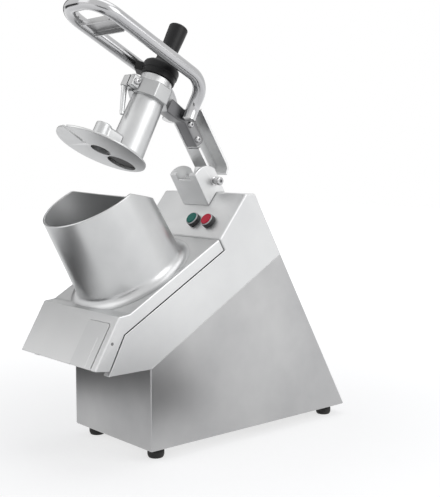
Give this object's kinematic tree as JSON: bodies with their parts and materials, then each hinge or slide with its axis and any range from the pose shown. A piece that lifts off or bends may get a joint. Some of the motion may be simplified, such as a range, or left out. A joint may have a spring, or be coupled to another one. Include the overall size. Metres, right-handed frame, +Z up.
{
  "type": "vegetable cutting machine",
  "caption": "Tabletop vegetable cutting machine with sheet steel base, sloping cast head, round hopper, raised lever with feed tube, pusher plate and pestle.",
  "frame": {"origin": "on the table under the middle of the machine's overall length and width", "axes": "+Z up, -Y towards the operator, +X to the operator's right, the side of the buttons and the latch"},
  "size_m": [0.2548, 0.6095, 0.7925],
  "materials": {
    "cast_aluminium": "satin casting",
    "bright_aluminium": "machined satin",
    "stainless_sheet": "brushed sheet",
    "polished_steel": "polished",
    "dark_steel": "dark satin",
    "black_plastic": "satin black",
    "white_plastic": "satin white",
    "rubber": "matt",
    "green_button": "gloss",
    "red_button": "gloss"
  },
  "bodies": {
    "base": {"base_shell": "stainless_sheet", "base_plate": "stainless_sheet", "foot_front_left": "rubber", "foot_front_right": "rubber", "foot_rear_left": "rubber", "foot_rear_right": "rubber", "head_body": "cast_aluminium", "lid_hinge_pin": "polished_steel", "latch_catch": "polished_steel", "bearing_lower": "polished_steel", "bearing_upper": "polished_steel", "shaft_seal": "rubber", "drive_belt": "rubber", "motor_plate": "stainless_sheet", "motor": "dark_steel", "run_capacitor": "bright_aluminium", "start_collar": "black_plastic", "stop_collar": "black_plastic", "start_switch": "black_plastic", "stop_switch": "black_plastic", "cable_gland": "black_plastic", "post_bracket": "cast_aluminium", "pivot_bolt": "polished_steel", "pivot_nut": "polished_steel"},
    "lever": {"lever_arm": "cast_aluminium", "clamp_bracket": "bright_aluminium", "clamp_bolt": "polished_steel", "arm_bolt_upper": "polished_steel", "arm_bolt_lower": "polished_steel", "handle_loop": "polished_steel", "handle_cross_plate": "stainless_sheet", "feed_tube": "bright_aluminium", "pusher_plate": "cast_aluminium", "guide_finger": "bright_aluminium"},
    "pestle": {"pestle": "black_plastic"},
    "lid": {"lid_cover": "cast_aluminium", "hopper": "cast_aluminium", "latch_pin": "dark_steel"},
    "latch": {"front_latch": "cast_aluminium"},
    "disc": {"drive_shaft": "polished_steel", "driven_pulley": "bright_aluminium", "ejector_disc": "white_plastic", "cutting_disc": "bright_aluminium", "disc_hub": "white_plastic", "blade_1": "polished_steel", "blade_2": "polished_steel", "blade_3": "polished_steel"},
    "rotor": {"motor_shaft": "polished_steel", "motor_pulley": "bright_aluminium"},
    "start": {"start_button": "green_button"},
    "stop": {"stop_button": "red_button"}
  },
  "joints": [
    {"name": "lever_swing", "type": "hinge", "parent": "base", "child": "lever", "pos_m": [0.0074, 0.02325, 0.479], "axis": [-1, 0, 0], "range_deg": [-58, 0]},
    {"name": "pestle_slide", "type": "slide", "parent": "lever", "child": "pestle", "axis": [0, 0.4695, 0.8829], "range_m": [0, 0.12]},
    {"name": "lid_swing", "type": "hinge", "parent": "base", "child": "lid", "pos_m": [-0.1206, -0.09488, 0.22914], "axis": [0, -0.866, -0.5], "range_deg": [0, 100]},
    {"name": "latch_turn", "type": "hinge", "parent": "lid", "child": "latch", "pos_m": [0.0074, -0.26626, 0.21875], "axis": [-1, 0, 0], "range_deg": [0, 20]},
    {"name": "disc_spin", "type": "hinge", "parent": "base", "child": "disc", "pos_m": [0.0074, -0.11887, 0.2707], "axis": [0, -0.5, 0.866], "continuous": true},
    {"name": "motor_spin", "type": "hinge", "parent": "base", "child": "rotor", "pos_m": [0.0074, 0.06103, 0.2591], "axis": [0, -0.5, 0.866], "continuous": true},
    {"name": "start_press", "type": "slide", "parent": "base", "child": "start", "axis": [0, 0.7826, -0.6225], "range_m": [0, 0.003], "stiffness_N_per_m": 500},
    {"name": "stop_press", "type": "slide", "parent": "base", "child": "stop", "axis": [0, 0.7826, -0.6225], "range_m": [0, 0.003], "stiffness_N_per_m": 500}
  ],
  "couplings": [
    {"joint": "motor_spin", "follows": "disc_spin", "ratio": 3.3333}
  ]
}
